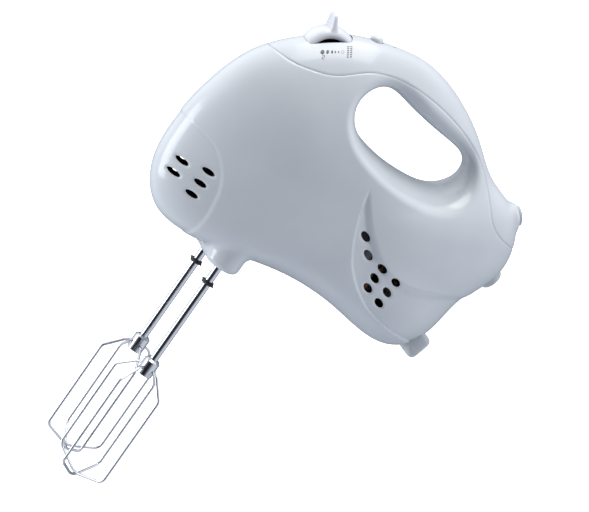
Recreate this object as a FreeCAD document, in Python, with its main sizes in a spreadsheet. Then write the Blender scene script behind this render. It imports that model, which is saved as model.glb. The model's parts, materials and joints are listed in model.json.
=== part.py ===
import FreeCAD, Part
import math
import os
import Sketcher
from FreeCAD import Placement, Rotation, Vector

# Hand mixer, millimetres.  The pieces are drawn in the position of use: x runs from the tail to the
# nose, y to the user's left and z up, with z = 0 at the drip discs midway between the two beaters.
# The last step stands the whole mixer on its heel, the way it is put down on a worktop.

DRIVING_SIZES = [
    ("wall", 2.2), ("half_width", 39.0), ("pole_x", -45.0), ("pole_z", 80.0),
    ("hole_rounding", 11.0), ("boss_bottom", 9.7), ("heel_tilt", 16.1),
    ("spindle_gap", 35.2), ("stem_radius", 2.55), ("stem_top", 50.0), ("stem_square", 4.2),
    ("running_gap", 0.07), ("air_gap", 0.35),
    ("disc_radius", 5.75), ("disc_sheet", 0.9),
    ("hub_radius", 5.0), ("hub_top", -55.0), ("hub_bottom", -65.8),
    ("cage_radius", 19.0), ("cage_shoulder", -72.3), ("cage_corner", -131.2), ("cage_bottom", -141.1),
    ("cage_start", -61.0), ("wire_radius", 0.88),
    ("spindle_radius", 5.0), ("spindle_bottom", 13.0), ("spindle_top", 77.5),
    ("shaft_height", 62.0), ("shaft_radius", 2.5), ("worm_bore", 2.0),
    ("worm_pitch", 4.0), ("gear_pitch", 13.6), ("gear_teeth", 34.0), ("gear_face", 6.0),
    ("addendum", 0.7), ("dedendum", 1.0), ("worm_length", 22.0),
    ("stack_front", -56.0), ("stack_length", 24.0), ("stack_half", 23.0), ("armature_radius", 14.0),
    ("slot_count", 12.0), ("slot_ring", 11.4), ("slot_radius", 1.3),
    ("commutator_radius", 8.5), ("commutator_front", -92.0), ("commutator_length", 11.0),
    ("fan_radius", 18.0), ("fan_front", -34.0), ("fan_depth", 9.0), ("fan_blades", 9.0),
    ("drum_x", 13.7), ("drum_z", 145.2), ("drum_radius", 15.6), ("drum_half", 8.2),
    ("fin_angle", 21.6), ("fin_tip", 22.0), ("pin_radius", 1.5),
    ("turbo_x", -6.5), ("turbo_z", 167.3), ("turbo_lean", 18.8), ("turbo_radius", 4.0),
    ("turbo_travel", 2.5), ("cord_radius", 3.5),
]

doc = FreeCAD.newDocument("HandMixer")
sheet = doc.addObject("Spreadsheet::Sheet", "Sizes")
for row, (alias, value) in enumerate(DRIVING_SIZES, start=1):
    sheet.set("A%d" % row, alias)
    sheet.set("B%d" % row, repr(value))
    sheet.setAlias("B%d" % row, alias)
doc.recompute()


class Size:
    """A length as a number, with the spreadsheet formula that it comes from."""

    def __init__(self, number, formula):
        self.number = number
        self.formula = formula

    def __add__(self, other):
        other = as_size(other)
        return Size(self.number + other.number, "(%s + %s)" % (self.formula, other.formula))

    def __sub__(self, other):
        other = as_size(other)
        return Size(self.number - other.number, "(%s - %s)" % (self.formula, other.formula))

    def __mul__(self, factor):
        return Size(self.number * factor, "(%s * %s)" % (self.formula, repr(float(factor))))

    def __neg__(self):
        return self * -1.0


def as_size(value):
    return value if isinstance(value, Size) else Size(float(value), repr(float(value)))


def size(alias):
    return Size(float(sheet.get(alias)), "Sizes." + alias)


def number(alias):
    return float(sheet.get(alias))


def bind(item, **values):
    """Set properties, and tie each one that comes from the sheet to its formula."""
    for name, value in values.items():
        value = as_size(value)
        setattr(item, name, value.number)
        if "Sizes." in value.formula:
            item.setExpression(name, value.formula)
    return item


def place(item, x=0.0, y=0.0, z=0.0, turn=None):
    """Put an item at a point, tying the coordinates that come from the sheet."""
    base = [as_size(x), as_size(y), as_size(z)]
    spin = turn if turn else Rotation()
    item.Placement = Placement(Vector(*[value.number for value in base]), spin)
    for axis, value in zip("xyz", base):
        if "Sizes." in value.formula:
            item.setExpression("Placement.Base." + axis, value.formula)
    return item


ALONG_X = Rotation(Vector(0, 1, 0), 90)
ALONG_Y = Rotation(Vector(1, 0, 0), -90)
nodes = []
work_count = 0


def work_name(kind):
    global work_count
    work_count += 1
    return "%s%03d" % (kind, work_count)


def node(label, item):
    """Take an item as one finished sub-part."""
    item.Label = label
    nodes.append(item)
    return item


def box(x, y, z):
    """A block from (low, high) pairs along the three axes."""
    low = [as_size(pair[0]) for pair in (x, y, z)]
    high = [as_size(pair[1]) for pair in (x, y, z)]
    item = doc.addObject("Part::Box", work_name("Block"))
    span = [top - bottom for bottom, top in zip(low, high)]
    bind(item, Length=span[0], Width=span[1], Height=span[2])
    return place(item, *low)


def rod(radius, length, x=0.0, y=0.0, z=0.0, turn=None):
    item = doc.addObject("Part::Cylinder", work_name("Rod"))
    bind(item, Radius=radius, Height=length)
    return place(item, x, y, z, turn)


def fuse(*items):
    item = doc.addObject("Part::MultiFuse", work_name("Fuse"))
    item.Shapes = list(items)
    item.Refine = True
    return item


def cut(base, *tools):
    item = doc.addObject("Part::Cut", work_name("Cut"))
    item.Base = base
    item.Tool = tools[0] if len(tools) == 1 else fuse(*tools)
    return item


def solid(shape, kind="Shape"):
    item = doc.addObject("Part::Feature", work_name(kind))
    item.Shape = shape
    return item


# ---------------------------------------------------------------- the sculpted body

OUTLINE = [
    (66.5, 58), (65.5, 79), (60.5, 103), (52, 123.5), (29.5, 148), (9, 161.8), (-16, 170.3),
    (-37, 173.7), (-71.5, 166.3), (-96, 153.2), (-119, 138.3), (-142, 129.5), (-156.5, 109),
    (-158, 95), (-147.5, 67), (-140.5, 36), (-129, 23.2), (-80, 23.5), (-25, 24), (20, 16.2),
    (46, 19), (62, 37),
]
GRIP_HOLE = [
    (-14.5, 133), (-19, 124), (-38, 115.2), (-72, 112.5), (-95, 120.5), (-98.5, 128.5),
    (-96.5, 137), (-77, 143.7), (-45, 148), (-22, 147.5),
]
# direction from the pole in degrees (0 = nose, 90 = top): half width, and how square the side is
SIDE_WIDTH = [(-150, 36), (-110, 39), (-20, 38.5), (20, 38), (60, 36), (90, 31), (110, 28.5),
              (140, 28), (165, 31), (185, 34)]
SIDE_POWER = [(-170, 2.8), (-140, 3.2), (-110, 5.0), (-60, 5.0), (-25, 2.6), (0, 2.2), (60, 2.1),
              (110, 2.1), (150, 2.3), (170, 2.5)]
DIRECTIONS = 72
SIDE_LEVELS = [0.0, 9.0, 17.5, 25.0, 31.0, 35.0, 37.3, 38.5]
HOLE_LEVELS = [0.0, 9.0, 15.0, 20.0, 24.0, 27.0, 29.5, 32.0, 34.5, 36.5, 38.2, 42.0]
HOLE_SAMPLES = 32
HOLE_POWER = 2.3


def smooth_step(low, high, value):
    part = min(max((value - low) / (high - low), 0.0), 1.0)
    return part * part * (3.0 - 2.0 * part)


def by_direction(table, angle):
    """Blend a (direction, value) table smoothly around the full circle."""
    for (start, first), (end, second) in zip(table, table[1:] + [(table[0][0] + 360, table[0][1])]):
        turned = start + (angle - start) % 360.0
        if turned <= end:
            return first + (second - first) * smooth_step(start, end, turned)
    return table[-1][1]


def closed_curve(points):
    """A smooth closed curve through points, evenly spaced in its parameter."""
    curve = Part.BSplineCurve()
    steps = [float(index) for index in range(len(points) + 1)]
    curve.interpolate(Points=points, Parameters=steps, PeriodicFlag=True)
    return curve


def through(outline):
    """A closed curve through hand-set outline points, spaced by their distance."""
    points = [Vector(x, 0, z) for x, z in outline]
    knots = [0.0]
    for here, there in zip(points, points[1:] + points[:1]):
        knots.append(knots[-1] + here.distanceToPoint(there))
    curve = Part.BSplineCurve()
    curve.interpolate(Points=points, Parameters=knots, PeriodicFlag=True)
    return curve


def edge_radii(outline, pole):
    """The distance from the pole to the side outline, in each direction."""
    curve = through(outline).toShape()
    radii = []
    for index in range(DIRECTIONS):
        angle = 2.0 * math.pi * index / DIRECTIONS
        ray = Part.makeLine(pole, pole + Vector(math.cos(angle), 0, math.sin(angle)) * 300.0)
        radii.append(curve.distToShape(ray)[1][0][0].distanceToPoint(pole))
    return radii


POLE = Vector(number("pole_x"), 0, number("pole_z"))
EDGE = edge_radii(OUTLINE, POLE)
MIDDLE = number("half_width")


def half_width(degrees, reach, inset):
    """The half width of the body at a fraction of the way from the pole to the edge."""
    local = MIDDLE + (by_direction(SIDE_WIDTH, degrees) - MIDDLE) * smooth_step(0.15, 0.9, reach)
    power = by_direction(SIDE_POWER, degrees)
    return (local - inset) * math.sqrt(max(1.0 - reach ** power, 0.0))


def reach_at(degrees, level, inset):
    """How far from the pole the side surface stands at a level, as a fraction of the edge."""
    low, high = 0.0, 1.0
    for step in range(40):
        middle = 0.5 * (low + high)
        if half_width(degrees, middle, inset) > level:
            low = middle
        else:
            high = middle
    return 0.5 * (low + high)


def side_section(level, inset):
    points = []
    for index, edge in enumerate(EDGE):
        degrees = 360.0 * index / DIRECTIONS
        radius = (edge - inset) * reach_at(degrees, abs(level), inset)
        angle = math.radians(degrees)
        points.append(Vector(POLE.x + radius * math.cos(angle), level,
                             POLE.z + radius * math.sin(angle)))
    return Part.Wire(closed_curve(points).toShape())


def mirrored(levels):
    return [-level for level in reversed(levels[1:])] + list(levels)


def body_form(inset):
    """The outer form of the whole body, or the same form moved inwards."""
    scale = (MIDDLE - inset) / MIDDLE
    sections = [side_section(level * scale, inset) for level in mirrored(SIDE_LEVELS)]
    return Part.makeLoft(sections, True, False)


def hole_section(curve, level, growth):
    """The grip opening at a level: it flares outwards to a soft rounded edge."""
    points = []
    first, last = curve.FirstParameter, curve.LastParameter
    for index in range(HOLE_SAMPLES):
        at = first + (last - first) * index / HOLE_SAMPLES
        spot = curve.value(at)
        along = curve.tangent(at)[0]
        outward = Vector(-along.z, 0, along.x)
        arm = spot - POLE
        degrees = math.degrees(math.atan2(arm.z, arm.x)) % 360.0
        edge = EDGE[int(round(degrees / 360.0 * DIRECTIONS)) % DIRECTIONS]
        local = half_width(degrees, arm.Length / edge, 0.0)
        share = min(abs(level) / local, 1.0)
        flare = number("hole_rounding") * (1.0 - (1.0 - share ** 2) ** (1.0 / HOLE_POWER))
        moved = spot + outward * (flare + growth)
        points.append(Vector(moved.x, level, moved.z))
    return Part.Wire(closed_curve(points).toShape())


def hole_form(growth):
    curve = through(GRIP_HOLE)
    sections = [hole_section(curve, level, growth) for level in mirrored(HOLE_LEVELS)]
    return Part.makeLoft(sections, True, True)


SEAM = [
    (70, 133.5), (45.5, 132.3), (32, 132.8), (22.8, 135), (13, 138.4), (5, 143.2), (-5.4, 151),
    (-15, 155.3), (-37.6, 158.6), (-65, 156), (-95, 146.6), (-107, 139.5), (-119, 126.3),
    (-127, 117.6), (-140, 112.7), (-175, 111),
]
FAR = 60.0
SCREWS = [(50.0, 62.0), (30.0, 96.0), (-40.0, 31.5), (-128.0, 50.0), (-131.0, 106.0)]
NOSE_VENTS = [(54.3, 52.8), (54.3, 44.7), (40.6, 56.6), (40.6, 48.6), (40.6, 40.6)]
REAR_VENTS = [(-55.5, 74.2), (-63.9, 65.9), (-76.5, 63.3), (-76.5, 56.2), (-77, 49.1),
              (-89.5, 60.4), (-89.2, 52.6), (-89.5, 44.6)]


def prism(edges, low, high):
    """Push a closed outline in the side view through from low to high along y."""
    face = Part.Face(Part.Wire(edges))
    return face.translated(Vector(0, low, 0)).extrude(Vector(0, high - low, 0))


def cover_region():
    """Everything above the seam of the top cover."""
    curve = Part.BSplineCurve()
    curve.interpolate([Vector(x, 0, z) for x, z in SEAM])
    corners = [Vector(SEAM[-1][0], 0, SEAM[-1][1]), Vector(SEAM[-1][0], 0, 230),
               Vector(SEAM[0][0], 0, 230), Vector(SEAM[0][0], 0, SEAM[0][1])]
    lines = [Part.makeLine(here, there) for here, there in zip(corners, corners[1:])]
    return prism([curve.toShape()] + lines, -FAR, FAR)


def pill(half_gap, radius, low, high):
    """A rounded block around both spindles."""
    across = Vector(radius, 0, 0)
    left, right = Vector(0, half_gap, low), Vector(0, -half_gap, low)
    edges = [
        Part.makeLine(right + across, left + across),
        Part.Arc(left + across, left + Vector(0, radius, 0), left - across).toShape(),
        Part.makeLine(left - across, right - across),
        Part.Arc(right - across, right - Vector(0, radius, 0), right + across).toShape(),
    ]
    return Part.Face(Part.Wire(edges)).extrude(Vector(0, 0, high - low))


def spindle_boss():
    """The rounded boss under the nose that the beaters plug into."""
    block = pill(0.5 * number("spindle_gap"), 11.0, number("boss_bottom"), 40.0)
    rim = [edge for edge in block.Edges if edge.BoundBox.ZMax < number("boss_bottom") + 0.1]
    return block.makeFillet(4.0, rim)


def bar_between(start, direction, radius, length):
    return Part.makeCylinder(radius, length, start, direction)


def oval_cutter(centre, long_half, short_half, lean):
    """An oval hole straight through both sides."""
    turn = Rotation(Vector(0, 1, 0), -lean)
    ellipse = Part.Ellipse(Vector(0, 0, 0), long_half, short_half).toShape()
    shape = Part.Face(Part.Wire(ellipse)).extrude(Vector(0, 0, 2 * FAR))
    lying = Placement(Vector(centre[0], FAR, centre[1]), turn.multiply(Rotation(Vector(1, 0, 0), 90)))
    shape.Placement = lying
    return shape


def drum_shape(grow):
    """The crowned drum of the speed lever, about its own pin."""
    reach, half = number("drum_radius") + grow, number("drum_half") + grow
    crown = Part.Arc(Vector(reach - 3.4, -half, 0), Vector(reach, 0, 0), Vector(reach - 3.4, half, 0))
    lines = [Part.makeLine(Vector(reach - 3.4, half, 0), Vector(0, half, 0)),
             Part.makeLine(Vector(0, half, 0), Vector(0, -half, 0)),
             Part.makeLine(Vector(0, -half, 0), Vector(reach - 3.4, -half, 0))]
    face = Part.Face(Part.Wire([crown.toShape()] + lines))
    return face.revolve(Vector(0, 0, 0), Vector(0, 1, 0), 360)


DRUM_CENTRE = Vector(number("drum_x"), 0, number("drum_z"))
TURBO = Vector(number("turbo_x"), 0, number("turbo_z"))
TURBO_OUT = Vector(math.sin(math.radians(number("turbo_lean"))), 0,
                   math.cos(math.radians(number("turbo_lean"))))
GLAND = Vector(-146.0, 0, 128.4)
GLAND_OUT = Vector(-0.8, 0, 0.6)
HEEL_TURN = math.radians(number("heel_tilt"))
HEEL_UP = Vector(math.cos(HEEL_TURN), 0, math.sin(HEEL_TURN))
HEEL_ALONG = Vector(math.sin(HEEL_TURN), 0, -math.cos(HEEL_TURN))
HEEL_LEVEL = -127.2


def heel_point(along, height):
    """A point given by its distance along the heel and its height above the worktop."""
    return HEEL_ALONG * along + HEEL_UP * (HEEL_LEVEL + height)


def make_shells():
    """The two housing halves and the top cover, cut from one hollow sculpted form."""
    wall = number("wall")
    outer = body_form(0.0).cut(hole_form(0.0)).fuse(spindle_boss())
    stem = bar_between(GLAND - GLAND_OUT * 16.0, GLAND_OUT, 8.5, 16.0)
    stem = stem.makeFillet(3.5, [edge for edge in stem.Edges
                                 if edge.CenterOfMass.distanceToPoint(GLAND) < 0.1])
    outer = outer.fuse(stem)
    hollow = body_form(wall).cut(hole_form(wall))
    half = 0.5 * number("spindle_gap")
    socket = pill(half, 11.0 - wall, number("boss_bottom") + wall, 42.0)
    shell = outer.cut(hollow.fuse(socket))
    holes = [Part.makeCylinder(5.6, 30.0, Vector(0, side * half, 0)) for side in (-1, 1)]
    holes += [oval_cutter(vent, 3.7, 1.6, 0.0) for vent in NOSE_VENTS]
    holes += [oval_cutter(vent, 3.9, 2.1, 22.0) for vent in REAR_VENTS]
    holes.append(bar_between(GLAND - GLAND_OUT * 20.0, GLAND_OUT, 4.9, 30.0))
    window = drum_shape(0.5)
    window.translate(DRUM_CENTRE)
    holes.append(window)
    holes.append(bar_between(TURBO - TURBO_OUT * 12.0, TURBO_OUT, number("turbo_radius") + 0.35, 24.0))
    shell = shell.cut(holes)
    region = cover_region()
    cover = shell.common(region)
    lower = shell.cut(region)
    left_room = Part.makeBox(400, FAR, 400, Vector(-250, 0, -100))
    right_room = Part.makeBox(400, FAR, 400, Vector(-250, -FAR, -100))
    solid_form = outer.cut(holes[:2])
    left, right = lower.common(left_room), lower.common(right_room)
    posts = Part.makeCompound([bar_between(Vector(x, -FAR, z), Vector(0, 1, 0), 4.3, 2 * FAR)
                               for x, z in SCREWS])
    posts = posts.common(solid_form)
    left = left.fuse(posts.common(left_room))
    right = right.fuse(posts.common(right_room))
    left = left.cut([bar_between(Vector(x, -1, z), Vector(0, 1, 0), 1.45, 16.0) for x, z in SCREWS])
    right = right.cut([bar_between(Vector(x, -FAR, z), Vector(0, 1, 0), 3.6, FAR - 16.0)
                       for x, z in SCREWS])
    right = right.cut([bar_between(Vector(x, -FAR, z), Vector(0, 1, 0), 1.75, FAR + 1.0)
                       for x, z in SCREWS])
    return largest(left), largest(right), largest(cover), outer


def largest(shape):
    return max(shape.Solids, key=lambda part: part.Volume)


def make_casing():
    left, right, cover, outer = make_shells()
    node("housing_left", solid(left))
    node("housing_right", solid(right))
    node("top_cover", solid(cover))
    foot = Part.makeBox(29, 17, 16, Vector(-14.5, -8.5, 0))
    foot = foot.makeFillet(3.5, [edge for edge in foot.Edges if edge.BoundBox.ZLength > 1.0])
    foot = foot.makeFillet(0.8, [edge for edge in foot.Edges if edge.BoundBox.ZMax < 0.1])
    lean = stand_turn().inverted()
    foot.Placement = Placement(heel_point(-67.5, 0.0), lean.multiply(Rotation(Vector(0, 0, 1), 90)))
    node("heel_foot", solid(largest(foot.cut(outer))))
    pad = bar_between(heel_point(-128.0, 0.0), HEEL_UP, 7.0, 9.0)
    node("tail_pad", solid(largest(pad.cut(outer))))
    cord = number("cord_radius")
    ring = bar_between(GLAND - GLAND_OUT * 8.0, GLAND_OUT, 4.85, 8.0)
    flange = bar_between(GLAND, GLAND_OUT, 6.2, 1.4)
    bore = bar_between(GLAND - GLAND_OUT * 10.0, GLAND_OUT, cord, 20.0)
    node("cord_gland", solid(ring.fuse(flange).cut(bore).removeSplitter()))


def stand_turn():
    """The turn from the position of use to standing on the heel."""
    return Rotation(Vector(0, 1, 0), number("heel_tilt") - 90.0)


# ---------------------------------------------------------------- turned pieces


def turned(profile, lathe="Turned"):
    """A body revolved about its own z axis from (radius, height) corners, heights from its base."""
    body = doc.addObject("PartDesign::Body", work_name(lathe))
    sketch = body.newObject("Sketcher::SketchObject", work_name("Profile"))
    plane = [item for item in body.Origin.OriginFeatures if item.Role == "XZ_Plane"][0]
    sketch.AttachmentSupport = (plane, [""])
    sketch.MapMode = "FlatFace"
    corners = [(as_size(radius), as_size(height)) for radius, height in profile]
    count = len(corners)
    for index in range(count):
        here, there = corners[index], corners[(index + 1) % count]
        sketch.addGeometry(Part.LineSegment(Vector(here[0].number, here[1].number, 0),
                                            Vector(there[0].number, there[1].number, 0)), False)
    for index in range(count):
        sketch.addConstraint(Sketcher.Constraint("Coincident", index, 2, (index + 1) % count, 1))
    for index, (radius, height) in enumerate(corners):
        for kind, value, axis in (("DistanceX", radius, -2), ("DistanceY", height, -1)):
            if abs(value.number) < 1e-9:
                sketch.addConstraint(Sketcher.Constraint("PointOnObject", index, 1, axis))
                continue
            link = Sketcher.Constraint(kind, -1, 1, index, 1, value.number)
            spot = sketch.addConstraint(link)
            if "Sizes." in value.formula:
                sketch.setExpression("Constraints[%d]" % spot, value.formula)
    turn = body.newObject("PartDesign::Revolution", work_name("Revolution"))
    turn.Profile = sketch
    turn.ReferenceAxis = (sketch, ["V_Axis"])
    turn.Angle = 360
    body.Tip = turn
    return body


def ring_profile(inner, outer, length):
    return [(inner, 0), (outer, 0), (outer, length), (inner, length)]


def put(item, point, turn=None):
    item.Placement = Placement(point, turn if turn else Rotation())
    return item


HALF_GAP = 0.5 * number("spindle_gap")
SHAFT_Z = number("shaft_height")
SIDES = (("left", 1), ("right", -1))


def make_spindles():
    bottom, top = size("spindle_bottom"), size("spindle_top")
    bore = size("stem_radius") + size("running_gap")
    outer = size("spindle_radius")
    for word, side in SIDES:
        y = side * HALF_GAP
        tube = turned([
            (2.3, 0), (outer, 0), (outer, 39), (6.5, 39), (6.5, 45.8), (outer, 45.8),
            (outer, top - bottom), (2.3, top - bottom)])
        put(tube, Vector(0, y, bottom.number))
        socket = rod(bore, 24.8, 0, y, bottom - 0.1)
        square = box((-2.25, 2.25), (y - 2.25, y + 2.25), (37.5, size("stem_top") + 0.3))
        ridge = rod(bore, 3.0, 0, y, 37.3)
        groove = doc.addObject("Part::Torus", work_name("Groove"))
        bind(groove, Radius1=5.1, Radius2=0.55)
        place(groove, 0, y, 33.0 - 12.0)
        node("spindle_" + word, cut(tube, socket, square, ridge, groove))
        clip = doc.addObject("Part::Torus", work_name("Clip"))
        bind(clip, Radius1=5.1, Radius2=0.5)
        place(clip, 0, y, 33.0 - 12.0)
        slot = box((3.0, 7.0), (y - 1.5, y + 1.5), (18.0, 24.0))
        node("detent_ring_" + word, cut(clip, slot))


def gear_section(z, turn, tooth_at):
    """One slice of a gear whose tooth number zero points along +x before it is turned."""
    count = int(number("gear_teeth"))
    pitch = number("gear_pitch")
    tip, root = pitch + number("addendum"), pitch - number("dedendum")
    points = []
    for tooth in range(count):
        middle = 360.0 * tooth / count + turn + tooth_at
        for radius, half in ((root, 0.80), (tip, 0.28), (tip, -0.28), (root, -0.80)):
            angle = math.radians(middle) - half / radius
            points.append(Vector(radius * math.cos(angle), radius * math.sin(angle), z))
    return Part.makePolygon(points + points[:1])


def make_gears():
    """Worm gears with slightly slanted teeth, each meshing with its own side of the worm."""
    face = number("gear_face")
    slant = math.degrees(1.0 / 34.0 / number("worm_pitch")) * number("worm_pitch") * 0.25
    step = 360.0 / number("gear_teeth")
    facing = {"left": -90.0 + 0.5 * step, "right": 90.0}
    for word, side in SIDES:
        low = gear_section(-0.5 * face, -0.5 * face * slant, facing[word])
        high = gear_section(0.5 * face, 0.5 * face * slant, facing[word])
        wheel = Part.makeLoft([low, high], True, True)
        bore = Part.makeCylinder(number("spindle_radius"), 20, Vector(0, 0, -10))
        dish = Part.makeCylinder(10.8, 2, Vector(0, 0, 0.5 * face - 1.6))
        dish = dish.cut(Part.makeCylinder(7.4, 4, Vector(0, 0, 0.5 * face - 2)))
        gear = solid(wheel.cut([bore, dish]))
        node("worm_gear_" + word, put(gear, Vector(0, side * HALF_GAP, SHAFT_Z)))


# ---------------------------------------------------------------- beaters


def rounded_path(points, radii):
    """Straight runs joined by tangent arcs; radii belong to the inner points."""
    edges = []
    here = points[0]
    for before, corner, after, radius in zip(points, points[1:], points[2:], radii):
        back = (before - corner).normalize()
        ahead = (after - corner).normalize()
        half = 0.5 * back.getAngle(ahead)
        reach = radius / math.tan(half)
        start, end = corner + back * reach, corner + ahead * reach
        inward = (back + ahead).normalize()
        middle = corner + inward * (radius / math.sin(half) - radius)
        edges.append(Part.makeLine(here, start))
        edges.append(Part.Arc(start, middle, end).toShape())
        here = end
    edges.append(Part.makeLine(here, points[-1]))
    return Part.Wire(edges)


def wire_loop(lift):
    """One bent wire of a beater cage, in the x-z plane about the beater's axis."""
    reach = number("cage_radius")
    side = [(3.55, number("cage_start")), (8.0, number("cage_start") - 0.8),
            (reach, number("cage_shoulder")), (reach, number("cage_corner"))]
    left = [Vector(-x, 0, z) for x, z in side]
    right = [Vector(x, 0, z) for x, z in reversed(side)]
    points = left + [Vector(0, 0, number("cage_bottom") + lift)] + right
    path = rounded_path(points, [4.0, 4.0, 5.0, 12.0, 5.0, 4.0, 4.0])
    ring = Part.Circle(points[0], (points[1] - points[0]), number("wire_radius")).toShape()
    return path.makePipeShell([Part.Wire(ring)], True, False)


BEATER_PHASE = {"left": 40.0, "right": 95.0}


def make_beaters():
    stem = size("stem_radius")
    for word, side in SIDES:
        y = side * HALF_GAP
        length = size("stem_top") - size("hub_bottom")
        shaft = turned([(0, 0), (stem, 0), (stem, length - 0.6), (stem - 0.6, length), (0, length)])
        put(shaft, Vector(0, y, number("hub_bottom")))
        half = 0.5 * number("stem_square")
        flats = [box((half, 6), (y - 6, y + 6), (40.2, 60)), box((-6, -half), (y - 6, y + 6), (40.2, 60)),
                 box((-6, 6), (y + half, y + 6), (40.2, 60)), box((-6, 6), (y - 6, y - half), (40.2, 60))]
        neck = doc.addObject("Part::Torus", work_name("Neck"))
        bind(neck, Radius1=2.9, Radius2=0.6)
        place(neck, 0, y, 33.0 - 12.0)
        node("beater_shaft_" + word, cut(shaft, neck, *flats))
        tall = size("hub_top") - size("hub_bottom")
        hub = turned([(stem, 0), (size("hub_radius") - 0.5, 0), (size("hub_radius"), 0.5),
                      (size("hub_radius"), tall - 1.2), (size("hub_radius") - 1.2, tall), (stem, tall)])
        node("beater_hub_" + word, put(hub, Vector(0, y, number("hub_bottom"))))
        for letter, lift, quarter in (("a", 0.0, 0.0), ("b", 2.4, 90.0)):
            loop = solid(wire_loop(lift))
            turn = Rotation(Vector(0, 0, 1), BEATER_PHASE[word] + quarter)
            node("wire_loop_%s_%s" % (letter, word), put(loop, Vector(0, y, 0), turn))
        sheet_high = size("disc_sheet")
        disc = rod(size("disc_radius"), sheet_high, 0, y, 0)
        boss = rod(3.6, 2.2, 0, y, -0.6)
        hole = rod(stem, 6, 0, y, -3)
        waist = fuse(rod(3.8, 3, 0, y, -1), box((-2.6, 2.6), (y - 9, y + 9), (-1, 2)))
        wings = doc.addObject("Part::Common", work_name("Wings"))
        wings.Base, wings.Tool = disc, waist
        node("drip_disc_" + word, cut(fuse(wings, boss), hole))


# ---------------------------------------------------------------- motor


def along_shaft(item, front_x):
    """Lay a turned piece along the motor shaft, its base at the given x."""
    return put(item, Vector(front_x, 0, SHAFT_Z), ALONG_X)


def make_worm():
    lead = 2.0 * math.pi * number("gear_pitch") / number("gear_teeth")
    turns = 8.0
    root, tip = number("worm_pitch") - 1.1, number("worm_pitch") + number("addendum")
    helix = Part.makeHelix(lead, turns * lead, root)
    profile = [Vector(root - 0.3, 0, -0.78), Vector(tip, 0, -0.26),
               Vector(tip, 0, 0.26), Vector(root - 0.3, 0, 0.78)]
    thread = Part.Wire(helix).makePipeShell([Part.makePolygon(profile + profile[:1])], True, True)
    start = -4.25 * lead
    half = 0.5 * number("worm_length")
    core = Part.makeCylinder(root, 2 * half, Vector(0, 0, -half - start))
    bore = Part.makeCylinder(number("worm_bore"), 40, Vector(0, 0, -20 - start))
    worm = solid(thread.fuse(core).cut(bore))
    node("worm", put(worm, Vector(start, 0, SHAFT_Z), ALONG_X))


def make_rotor():
    thick, thin = size("shaft_radius"), size("worm_bore")
    shaft = turned([(0, 0), (thick, 0), (thick, 104), (thin, 104), (thin, 140), (0, 140)])
    node("motor_shaft", along_shaft(shaft, -118.0))
    make_worm()
    stack = size("stack_length")
    start = number("stack_front") - number("stack_length")
    core = turned(ring_profile(thick, size("armature_radius"), stack))
    along_shaft(core, start)
    slots, bars = [], []
    count = int(number("slot_count"))
    for index in range(count):
        angle = 2.0 * math.pi * index / count
        reach = number("slot_ring")
        y, z = reach * math.cos(angle), SHAFT_Z + reach * math.sin(angle)
        slots.append(rod(size("slot_radius"), stack + 2, start - 1, y, z, ALONG_X))
        bars.append(rod(size("slot_radius"), stack + 4, start - 2, y, z, ALONG_X))
    node("armature_core", cut(core, *slots))
    ends = [turned([(thick, 0), (11.5, 0), (13.2, 2), (13.2, 5), (10, 7), (thick, 7)]) for end in range(2)]
    along_shaft(ends[0], start - 7)
    put(ends[1], Vector(start + number("stack_length") + 7, 0, SHAFT_Z), Rotation(Vector(0, 1, 0), -90))
    node("armature_windings", fuse(*(ends + bars)))
    ring = turned(ring_profile(thick, size("commutator_radius"), size("commutator_length")))
    rear = number("commutator_front") - number("commutator_length")
    along_shaft(ring, rear)
    gaps = []
    for index in range(count):
        gap = box((rear - 1, rear + 9), (7.3, 12), (-0.25, 0.25))
        angle = 360.0 * index / count
        turn = Rotation(Vector(1, 0, 0), angle)
        gap.Placement = Placement(Vector(0, 0, SHAFT_Z), turn).multiply(gap.Placement)
        gaps.append(gap)
    node("commutator", cut(ring, *gaps))
    make_fan(thick)


def make_fan(shaft):
    depth = number("fan_depth")
    rear = number("fan_front") - depth
    reach = size("fan_radius")
    hub = turned([(shaft, 0), (reach, 0), (reach, 1.2), (6.5, 1.2), (5.5, depth), (shaft, depth)])
    along_shaft(hub, rear)
    blades = []
    count = int(number("fan_blades"))
    for index in range(count):
        blade = box((rear + 0.6, rear + depth - 0.5), (5.0, reach - 0.8), (-0.6, 0.6))
        turn = Rotation(Vector(1, 0, 0), 360.0 * index / count)
        blade.Placement = Placement(Vector(0, 0, SHAFT_Z), turn).multiply(blade.Placement)
        blades.append(blade)
    node("cooling_fan", fuse(hub, *blades))


def rounded_block(x, half_y, half_z, radius):
    """A block along the motor shaft with rounded long edges."""
    block = Part.makeBox(x[1] - x[0], 2 * half_y, 2 * half_z, Vector(x[0], -half_y, -half_z))
    edges = [edge for edge in block.Edges if edge.BoundBox.XLength > 1.0]
    return block.makeFillet(radius, edges)


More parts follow.
